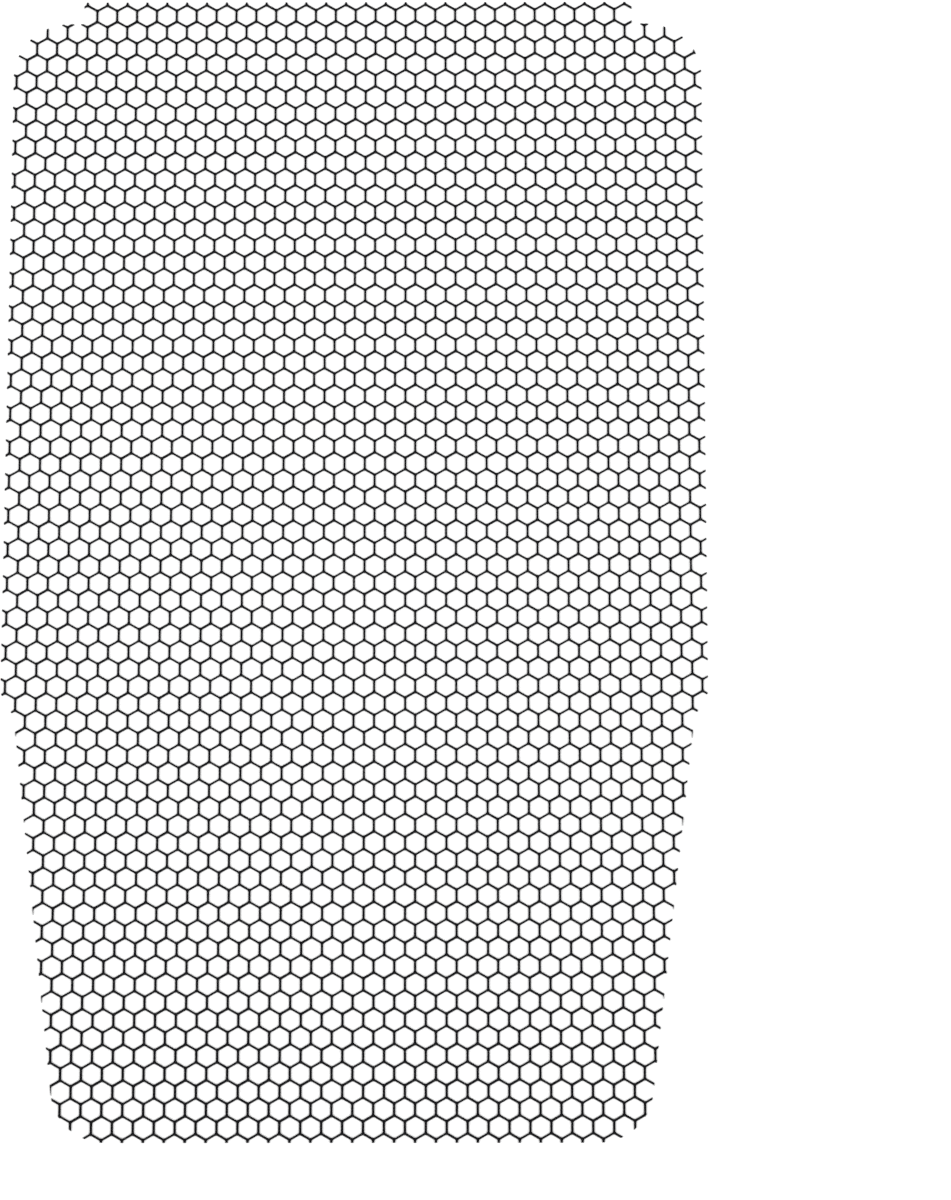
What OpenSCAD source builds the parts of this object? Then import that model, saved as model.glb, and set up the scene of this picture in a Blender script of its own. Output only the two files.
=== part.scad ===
/* [Sheet] */
// Thickness of the sheet with its coating
sheet_t = 1; // [0.6:0.1:2]
// Width across the parallel upper sides
guard_w = 231; // [200:1:260]
// Length from the lower edge to the top of the tab
guard_l = 386.6; // [340:0.2:420]

/* [Tab along the top] */
// Width of the raised tab
tab_w = 184.4; // [140:0.2:195]
// Height of the tab above the upper corners
tab_h = 7.7; // [4:0.1:16]
// Radius of the two upper corners
upper_corner_r = 18.6; // [8:0.2:22]

/* [Taper towards the bottom] */
// Distance from the lower edge to the foot of the shoulders
shoulder_y = 139.6; // [90:0.2:190]
// Height of each shoulder
shoulder_h = 8.1; // [4:0.1:16]
// How far each shoulder steps in
shoulder_in = 4.5; // [2:0.1:12]
// Width at the lower edge, before its corners are rounded
lower_w = 189.6; // [150:0.2:210]
// Radius of the two lower corners
lower_corner_r = 17.8; // [6:0.2:24]

/* [Honeycomb] */
// Distance between the centres of neighbouring cells
cell_pitch = 15.7; // [12:0.1:24]
// Width of the struts that run along the guard
long_strut_w = 1.4; // [0.8:0.1:3]
// Width of the slanted struts
slant_strut_w = 1.1; // [0.8:0.1:3]

/* [Hidden] */

// Flats along each rounded corner
corner_steps = 12;
half_l = guard_l / 2;
half_w = guard_w / 2;
tab_foot_y = half_l - tab_h;
row_step = cell_pitch * sqrt(3) / 2;
cell_side = cell_pitch / sqrt(3);
// Rows and columns to each side of the middle, enough to reach past the outline
row_reach = ceil(half_l / row_step);
column_reach = ceil(half_w / cell_pitch);
// The upper corners are rounded no further in than the tab
upper_r = min(upper_corner_r, half_w - tab_w / 2);
// Half widths of the outline below the tab, by height
side_profile = [for (point = right_half()) if (point.y <= tab_foot_y) [point.y, point.x]];
// A cut that takes a strut away is this much wider than the strut
cut_spare = 0.4;

// Points of a corner with a radius, between the corner's two neighbours
function rounded(before, corner, after, radius) =
    let (
        to_before = (before - corner) / norm(before - corner),
        to_after = (after - corner) / norm(after - corner),
        half_angle = acos(to_before * to_after) / 2,
        inward = (to_before + to_after) / norm(to_before + to_after),
        centre = corner + inward * radius / sin(half_angle),
        first = corner + to_before * radius / tan(half_angle) - centre,
        sweep = 180 - 2 * half_angle
    )
    [for (step = [0:corner_steps])
        let (turn = sweep * step / corner_steps)
        centre + [
            first.x * cos(turn) - first.y * sin(turn),
            first.x * sin(turn) + first.y * cos(turn)
        ]];

// Right half of the outline, from the middle of the lower edge up to the tab
function right_half() =
    let (
        lower_corner = [lower_w / 2, -half_l],
        shoulder_foot = [half_w - shoulder_in, -half_l + shoulder_y],
        shoulder_top = [half_w, -half_l + shoulder_y + shoulder_h],
        upper_corner = [half_w, tab_foot_y],
        tab_foot = [tab_w / 2, tab_foot_y],
        tab_corner = [tab_w / 2, half_l]
    )
    concat(
        rounded([0, -half_l], lower_corner, shoulder_foot, lower_corner_r),
        [shoulder_foot, shoulder_top],
        rounded(shoulder_top, upper_corner, tab_foot, upper_r),
        [tab_foot, tab_corner]
    );

module outline() {
    right = right_half();
    left = [for (i = [len(right) - 1:-1:0]) [-right[i].x, right[i].y]];
    polygon(concat(right, left));
}

// Whether a point lies within the outline, or no further outside it than the spare
function inside(point, spare = 0) =
    let (reach = point.y > tab_foot_y ? tab_w / 2 : lookup(point.y, side_profile))
    abs(point.y) < half_l + spare && abs(point.x) < reach + spare;

function cell_centre(row, column) =
    [(column + (row % 2 == 0 ? 0 : 0.5)) * cell_pitch, (row - 0.5) * row_step];

// A cell is whole if all its corners lie within the outline
function whole(centre) =
    len([for (angle = [30:60:330])
        if (!inside(centre + cell_side * [cos(angle), sin(angle)])) angle
    ]) == 0;

// Three struts meet at a joint: a long one, which goes up or down, and two slanted ones
function neighbours(joint, up) = [
    joint + [0, up * cell_side],
    joint + [-cell_pitch / 2, -up * cell_side / 2],
    joint + [cell_pitch / 2, -up * cell_side / 2]
];
function on_whole_cell(joint, up) =
    whole(joint - [0, up * cell_side])
    || whole(joint + [-cell_pitch / 2, up * cell_side / 2])
    || whole(joint + [cell_pitch / 2, up * cell_side / 2]);

// A joint is held by a whole cell, or by a strut from one
function held(joint, up) =
    inside(joint) && (on_whole_cell(joint, up)
        || len([for (next = neighbours(joint, up)) if (inside(next) && on_whole_cell(next, -up)) next]) > 0);

function touches_outline(from, to) =
    len([for (share = [0:0.125:1]) if (inside(from + share * (to - from), long_strut_w)) share]) > 0;

// One opening: a cell less half a strut along each of its six sides
module opening() {
    side_x = (cell_pitch - long_strut_w) / 2;
    slant_reach = (cell_pitch - slant_strut_w) / 2;
    tip_y = 2 * slant_reach / sqrt(3);
    side_y = (2 * slant_reach - side_x) / sqrt(3);
    polygon([
        [0, tip_y], [-side_x, side_y], [-side_x, -side_y],
        [0, -tip_y], [side_x, -side_y], [side_x, side_y]
    ]);
}

// Openings in staggered rows, with the guard's middle halfway between two rows.
// The outline cuts through the outer openings and leaves open strut ends.
module openings() {
    for (row = [-row_reach:row_reach + 1], column = [-column_reach:column_reach])
        translate(cell_centre(row, column))
            opening();
}

module strut_cut(from, to) {
    cut_w = max(long_strut_w, slant_strut_w) + cut_spare;
    translate(from)
        rotate(atan2(to.y - from.y, to.x - from.x))
            translate([0, -cut_w / 2])
                square([cell_side, cut_w]);
}

// The outline leaves some struts with neither end held. They would fall out, so they are taken away.
module loose_struts() {
    for (row = [-row_reach:row_reach + 1], column = [-column_reach:column_reach]) {
        joint = cell_centre(row, column) + [0, cell_side];
        for (next = neighbours(joint, 1))
            if (!held(joint, 1) && !held(next, -1) && touches_outline(joint, next))
                strut_cut(joint, next);
    }
}

module mesh_guard() {
    color([0.11, 0.11, 0.12])
        linear_extrude(sheet_t)
            difference() {
                outline();
                openings();
                loose_struts();
            }
}

mesh_guard();
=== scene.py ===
"""A radiator guard: a flat black honeycomb sheet that lies on a pale studio floor."""

import math

import bmesh
import bpy
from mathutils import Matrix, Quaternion, Vector


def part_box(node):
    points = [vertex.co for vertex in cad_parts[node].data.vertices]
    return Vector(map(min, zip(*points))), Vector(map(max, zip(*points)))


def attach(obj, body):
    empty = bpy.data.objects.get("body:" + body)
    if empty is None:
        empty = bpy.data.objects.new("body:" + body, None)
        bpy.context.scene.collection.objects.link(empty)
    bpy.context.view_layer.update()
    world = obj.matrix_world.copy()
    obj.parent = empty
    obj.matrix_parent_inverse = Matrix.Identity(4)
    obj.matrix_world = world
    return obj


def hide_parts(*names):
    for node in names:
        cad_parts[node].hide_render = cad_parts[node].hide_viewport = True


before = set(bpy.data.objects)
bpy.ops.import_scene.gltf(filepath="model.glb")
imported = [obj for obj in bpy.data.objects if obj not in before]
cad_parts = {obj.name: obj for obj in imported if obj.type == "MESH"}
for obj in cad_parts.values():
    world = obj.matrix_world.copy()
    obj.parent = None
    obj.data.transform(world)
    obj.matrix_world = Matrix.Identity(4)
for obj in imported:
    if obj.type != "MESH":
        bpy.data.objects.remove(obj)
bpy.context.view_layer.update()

# The sheet's sizes are in millimetres up to the point where its mesh is made.
MM = 0.001

# The sheet's box, as the frame has it
box_low, box_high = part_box("mesh_guard")
HALF_WIDTH = (box_high[0] - box_low[0]) / 2 / MM
HALF_LENGTH = (box_high[1] - box_low[1]) / 2 / MM
THICKNESS = (box_high[2] - box_low[2]) / MM

# The outline. TAB_FOOT is where the tab starts, from the guard's middle.
TAB_HALF = 92.2
TAB_HEIGHT = 7.7
TAB_FOOT = HALF_LENGTH - TAB_HEIGHT
UPPER_RADIUS = 18.6
SHOULDER_FOOT = 139.6
SHOULDER_HEIGHT = 8.1
SHOULDER_STEP = 4.5
LOWER_HALF = 94.8
LOWER_RADIUS = 17.8
CORNER_STEPS = 12

# The honeycomb at its real fineness, with its small offset and turn under the outline
PITCH = 6.7
ROW_STEP = PITCH * math.sqrt(3) / 2
LONG_STRUT = 0.65
SLANT_STRUT = 0.52
PATTERN_PLACE = Vector((-0.23, -2.76))
PATTERN_TURN = math.radians(0.137)

# Rounding of an opening's corners, and of its edge on the upper face
CORNER_RADIUS = 0.5
UPPER_EDGE = 0.10

# The punched openings of every second row sit a little aside, so slanted struts are thick and thin by turns
ROW_SHIFT = Vector((-0.050, 0.010))

# The coating is thicker towards the lower edge: how much it narrows an opening there to a side,
# and where that starts, from the guard's middle
COATING_RUN = 0.070
COATING_RUN_TOP = 20

# A point this close to a line lies on it, and points this close together are one
SAME = 1e-5
WELD = 1e-4
# A face under this many square millimetres is a sliver that a cut left
SMALLEST_FACE = 1e-6
# An edge that turns more than this stays sharp
SHARP_ANGLE = math.radians(50)

# Lengths from here on are in metres.

# The coating's tints, in linear light, its gloss, and the fineness of its clouds and of its orange peel
DARK_TINT = (0.0012, 0.0011, 0.0022, 1)
LIGHT_TINT = (0.0028, 0.0026, 0.0042, 1)
TINT_RANGE = (0.35, 0.65)
ROUGHNESS_RANGE = (0.36, 0.50)
SPECULAR = 0.12
CLOUD_SCALE = 60.0
PEEL_SCALE = 3500.0
PEEL_STRENGTH = 0.25
PEEL_HEIGHT = 0.00005

FLOOR_COLOUR = (0.9, 0.9, 0.9, 1)
FLOOR_ROUGHNESS = 0.9
FLOOR_HALF = 6.0

# The camera stands at the photograph's angle. Its lens and sensor are in millimetres.
CAMERA_PLACE = Vector((0.04659, -0.44462, 1.71651))
CAMERA_AIM = Vector((0.03962, -0.01426, 0.0))
CAMERA_ROLL = math.radians(-0.959)
LENS = 161.89
SENSOR = 36
NEAREST_SEEN = 0.01
FURTHEST_SEEN = 50

# The lights' height over the sheet, how wide each looks from there and how strong it is,
# and the strength of the even light from all round
LIGHT_HEIGHT = math.radians(62)
LIGHT_WIDTH = math.radians(30)
LIGHT_STRENGTH = 0.86
ROOM_LIGHT = 0.35


def hexagon(side_x, slant_reach):
    """Corners of a hexagon that stands on a tip.

    side_x is its half width, and slant_reach is how far its slanted sides are from the middle.
    """
    tip_y = 2 * slant_reach / math.sqrt(3)
    side_y = (2 * slant_reach - side_x) / math.sqrt(3)
    right = [Vector((0, -tip_y)), Vector((side_x, -side_y)), Vector((side_x, side_y))]
    return right + [-corner for corner in right]


def opening(outward):
    """An opening's outline, with two points for each rounded corner. outward widens it all round."""
    corners = hexagon((PITCH - LONG_STRUT) / 2 + outward, (PITCH - SLANT_STRUT) / 2 + outward)
    cut = (CORNER_RADIUS + outward) * math.tan(math.radians(30))
    points = []
    for i, corner in enumerate(corners):
        to_before = (corners[i - 1] - corner).normalized()
        to_after = (corners[(i + 1) % 6] - corner).normalized()
        points += [corner + to_before * cut, corner + to_after * cut]
    return points


def coating_run(y):
    """How much the coating narrows an opening, by its place along the guard."""
    share = max(0.0, COATING_RUN_TOP - y) / (COATING_RUN_TOP + HALF_LENGTH)
    return COATING_RUN * share ** 2


def rounded(before, corner, after, radius):
    """Points of a corner with a radius, between the corner's two neighbours."""
    to_before = (before - corner).normalized()
    to_after = (after - corner).normalized()
    half_angle = to_before.angle(to_after) / 2
    centre = corner + (to_before + to_after).normalized() * radius / math.sin(half_angle)
    first = corner + to_before * radius / math.tan(half_angle) - centre
    points = []
    for step in range(CORNER_STEPS + 1):
        turn = (math.pi - 2 * half_angle) * step / CORNER_STEPS
        cos, sin = math.cos(turn), math.sin(turn)
        points.append(centre + Vector((first.x * cos - first.y * sin, first.x * sin + first.y * cos)))
    return points


def outline_parts():
    """The outline as three convex polygons: the tapered part, the upper part and the tab."""
    foot_half = HALF_WIDTH - SHOULDER_STEP
    foot_y = -HALF_LENGTH + SHOULDER_FOOT
    lower_corner = Vector((LOWER_HALF, -HALF_LENGTH))
    shoulder_foot = Vector((foot_half, foot_y))
    shoulder_top = Vector((HALF_WIDTH, foot_y + SHOULDER_HEIGHT))
    upper_corner = Vector((HALF_WIDTH, TAB_FOOT))

    def both_sides(right):
        return right + [Vector((-point.x, point.y)) for point in reversed(right)]

    tapered = rounded(Vector((0, -HALF_LENGTH)), lower_corner, shoulder_foot, LOWER_RADIUS)
    upper = rounded(shoulder_top, upper_corner, Vector((0, TAB_FOOT)), UPPER_RADIUS)
    tab = [Vector((TAB_HALF, TAB_FOOT)), Vector((TAB_HALF, HALF_LENGTH))]
    return [
        both_sides(tapered + [shoulder_foot]),
        both_sides([shoulder_foot, shoulder_top] + upper),
        both_sides(tab),
    ]


def half_planes(polygon):
    """For each side of a convex polygon, a point on it and the direction to the inside."""
    planes = []
    for start, end in zip(polygon, polygon[1:] + polygon[:1]):
        along = end - start
        planes.append((start, Vector((-along.y, along.x)).normalized()))
    return planes


def depth(point, plane):
    """How far a point lies inside a plane."""
    start, inward = plane
    return (point.x - start.x) * inward.x + (point.y - start.y) * inward.y


def clip(face, planes):
    """The part of a face that lies inside all the planes."""
    for plane in planes:
        depths = [depth(point, plane) for point in face]
        kept = []
        for i, point in enumerate(face):
            after = (i + 1) % len(face)
            if depths[i] >= -SAME:
                kept.append(point)
            if (depths[i] > SAME and depths[after] < -SAME) or (depths[i] < -SAME and depths[after] > SAME):
                kept.append(point.lerp(face[after], depths[i] / (depths[i] - depths[after])))
        face = kept
        if len(face) < 3:
            return []
    return face


def with_tab_corners(face):
    """Adds the tab's foot corners to a face whose edge passes them, so that it meets its neighbours."""
    points = []
    for start, end in zip(face, face[1:] + face[:1]):
        points.append(start)
        if abs(start.y - TAB_FOOT) > SAME or abs(end.y - TAB_FOOT) > SAME:
            continue
        corners = []
        for x in (-TAB_HALF, TAB_HALF):
            if min(start.x, end.x) + SAME < x < max(start.x, end.x) - SAME:
                corners.append(start.lerp(end, (x - start.x) / (end.x - start.x)))
        points += sorted(corners, key=lambda corner: (corner - start).length)
    return points


def laid(points, place, height):
    """Points of the pattern, moved to a cell's place and turned with the pattern."""
    cos, sin = math.cos(PATTERN_TURN), math.sin(PATTERN_TURN)
    made = []
    for point in points:
        x, y = point.x + place.x, point.y + place.y
        laid_x = x * cos - y * sin + PATTERN_PLACE.x
        laid_y = x * sin + y * cos + PATTERN_PLACE.y
        made.append(Vector((laid_x, laid_y, height)))
    return made


def flat_faces(rim, hole):
    """One face of the sheet from the middle of the struts in to an opening."""
    faces = []
    for i in range(6):
        after = (i + 1) % 6
        faces.append([rim[i], hole[2 * i], hole[2 * i + 1]])
        faces.append([rim[i], hole[2 * i + 1], hole[2 * after], rim[after]])
    return faces


def wall_faces(lower, upper):
    """A band round an opening between two of its outlines."""
    return [[lower[i - 1], lower[i], upper[i], upper[i - 1]] for i in range(len(lower))]


def cell_faces(column, row):
    """One cell's share of the struts: its rim on the upper face, and all its faces."""
    place = Vector(((column + row % 2 / 2) * PITCH, row * ROW_STEP))
    shift = ROW_SHIFT if row % 2 else -ROW_SHIFT
    narrowed = coating_run(place.y)
    low_rim, high_rim = (laid(hexagon(PITCH / 2, PITCH / 2), place, height) for height in (0.0, THICKNESS))
    low_hole = laid(opening(-narrowed), place + shift, 0.0)
    wall_top = laid(opening(-narrowed), place + shift, THICKNESS - UPPER_EDGE)
    high_hole = laid(opening(UPPER_EDGE - narrowed), place + shift, THICKNESS)
    faces = flat_faces(high_rim, high_hole) + flat_faces(low_rim, low_hole)
    faces += wall_faces(low_hole, wall_top) + wall_faces(wall_top, high_hole)
    return high_rim, faces


def honeycomb_mesh(name):
    """The whole sheet, cut to the outline. The outer cells are cut open and leave strut ends."""
    bm = bmesh.new()
    known = {}

    def vertex(point):
        key = tuple(round(value / WELD) for value in point)
        if key not in known:
            known[key] = bm.verts.new(point * MM)
        return known[key]

    def add(face):
        corners = []
        for point in face:
            corner = vertex(point)
            if corner not in corners:
                corners.append(corner)
        if len(corners) > 2:
            bm.faces.new(corners)

    parts = [half_planes(part) for part in outline_parts()]
    row_reach = math.ceil(HALF_LENGTH / ROW_STEP) + 1
    column_reach = math.ceil(HALF_WIDTH / PITCH) + 1
    for row in range(-row_reach, row_reach + 1):
        for column in range(-column_reach, column_reach + 1):
            rim, faces = cell_faces(column, row)
            for planes in parts:
                depths = [[depth(point, plane) for point in rim] for plane in planes]
                if min(map(min, depths)) > SAME:
                    for face in faces:
                        add(face)
                    break
                if min(map(max, depths)) < -SAME:
                    continue
                for face in faces:
                    piece = clip(face, planes)
                    if piece:
                        add(with_tab_corners(piece))
    close_cuts(bm)
    mesh = bpy.data.meshes.new(name)
    bm.to_mesh(mesh)
    bm.free()
    return mesh


def close_cuts(bm):
    """Closes the cut end of each strut with a flat face."""
    bmesh.ops.remove_doubles(bm, verts=bm.verts, dist=WELD * MM)
    thin = [face for face in bm.faces if face.calc_area() < SMALLEST_FACE * MM * MM]
    bmesh.ops.delete(bm, geom=thin, context="FACES_ONLY")
    open_edges = [edge for edge in bm.edges if len(edge.link_faces) == 1]
    ends = bmesh.ops.holes_fill(bm, edges=open_edges, sides=0)["faces"]
    bmesh.ops.triangulate(bm, faces=ends)
    bmesh.ops.dissolve_degenerate(bm, edges=bm.edges, dist=WELD * MM)
    bmesh.ops.recalc_face_normals(bm, faces=bm.faces)


def new_object(name, mesh):
    made = bpy.data.objects.new(name, mesh)
    bpy.context.scene.collection.objects.link(made)
    return made


def node(tree, kind, place, **inputs):
    """A shader node, with some of its inputs set by name."""
    made = tree.nodes.new(kind)
    made.location = place
    for name, value in inputs.items():
        made.inputs[name].default_value = value
    return made


def black_coating():
    """Satin black powder coating, with a fine orange peel and slightly uneven gloss."""
    material = bpy.data.materials.new("black_coating")
    material.use_nodes = True
    tree = material.node_tree
    link = tree.links.new
    shader = tree.nodes["Principled BSDF"]
    shader.inputs["Specular IOR Level"].default_value = SPECULAR
    place = node(tree, "ShaderNodeTexCoord", (-1100, 0))

    cloud = node(tree, "ShaderNodeTexNoise", (-850, 250), Scale=CLOUD_SCALE, Detail=3.0)
    link(place.outputs["Object"], cloud.inputs["Vector"])
    tint = node(tree, "ShaderNodeValToRGB", (-600, 250))
    for stop, position, colour in zip(tint.color_ramp.elements, TINT_RANGE, (DARK_TINT, LIGHT_TINT)):
        stop.position = position
        stop.color = colour
    link(cloud.outputs["Fac"], tint.inputs["Fac"])
    link(tint.outputs["Color"], shader.inputs["Base Color"])

    gloss = node(tree, "ShaderNodeMapRange", (-600, -50))
    gloss.inputs["To Min"].default_value, gloss.inputs["To Max"].default_value = ROUGHNESS_RANGE
    link(cloud.outputs["Fac"], gloss.inputs["Value"])
    link(gloss.outputs["Result"], shader.inputs["Roughness"])

    peel = node(tree, "ShaderNodeTexNoise", (-850, -350), Scale=PEEL_SCALE, Detail=2.0)
    link(place.outputs["Object"], peel.inputs["Vector"])
    bump = node(tree, "ShaderNodeBump", (-350, -350), Strength=PEEL_STRENGTH, Distance=PEEL_HEIGHT)
    link(peel.outputs["Fac"], bump.inputs["Height"])
    link(bump.outputs["Normal"], shader.inputs["Normal"])
    return material


def pale_floor():
    """A matt, nearly white studio floor."""
    material = bpy.data.materials.new("pale_floor")
    material.use_nodes = True
    tree = material.node_tree
    shader = tree.nodes["Principled BSDF"]
    shader.inputs["Base Color"].default_value = FLOOR_COLOUR
    shader.inputs["Roughness"].default_value = FLOOR_ROUGHNESS
    shader.inputs["Specular IOR Level"].default_value = 0.0
    return material


def make_guard():
    guard = new_object("honeycomb_sheet", honeycomb_mesh("honeycomb_sheet"))
    guard.data.materials.append(black_coating())
    guard.data.shade_smooth()
    guard.data.set_sharp_from_angle(angle=SHARP_ANGLE)
    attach(guard, "root")
    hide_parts("mesh_guard")


def make_floor():
    mesh = bpy.data.meshes.new("floor")
    corners = [(x * FLOOR_HALF, y * FLOOR_HALF, 0) for x, y in ((-1, -1), (1, -1), (1, 1), (-1, 1))]
    mesh.from_pydata(corners, [], [(0, 1, 2, 3)])
    mesh.materials.append(pale_floor())
    new_object("floor", mesh)


def soft_light(name, azimuth, mirrored):
    """A wide light from far off, so that the floor is as bright everywhere."""
    light = bpy.data.lights.new(name, "SUN")
    light.angle = LIGHT_WIDTH
    light.energy = LIGHT_STRENGTH
    made = new_object(name, light)
    turn = math.radians(azimuth)
    across = math.cos(LIGHT_HEIGHT)
    made.location = (across * math.cos(turn), across * math.sin(turn), math.sin(LIGHT_HEIGHT))
    made.rotation_mode = "QUATERNION"
    made.rotation_quaternion = (-made.location).to_track_quat("-Z", "Y")
    made.visible_glossy = mirrored


def make_light():
    """Soft light from high on all sides but the one that the sheet would mirror to the camera.

    The sheet doesn't mirror the lights at its sides either, because a black sheet would look grey there.
    """
    soft_light("light_left", 180, False)
    soft_light("light_front_left", 240, True)
    soft_light("light_front_right", 300, True)
    soft_light("light_right", 0, False)
    world = bpy.data.worlds.new("studio")
    world.use_nodes = True
    background = world.node_tree.nodes["Background"]
    background.inputs["Color"].default_value = (1, 1, 1, 1)
    background.inputs["Strength"].default_value = ROOM_LIGHT
    bpy.context.scene.world = world


def make_camera():
    data = bpy.data.cameras.new("camera")
    data.lens = LENS
    data.sensor_width = SENSOR
    data.clip_start = NEAREST_SEEN
    data.clip_end = FURTHEST_SEEN
    camera = new_object("camera", data)
    camera.location = CAMERA_PLACE
    camera.rotation_mode = "QUATERNION"
    look = (CAMERA_AIM - CAMERA_PLACE).to_track_quat("-Z", "Y")
    camera.rotation_quaternion = look @ Quaternion((0, 0, 1), CAMERA_ROLL)
    bpy.context.scene.camera = camera


make_camera()
make_guard()
make_floor()
make_light()
bpy.context.scene.view_settings.view_transform = "Standard"
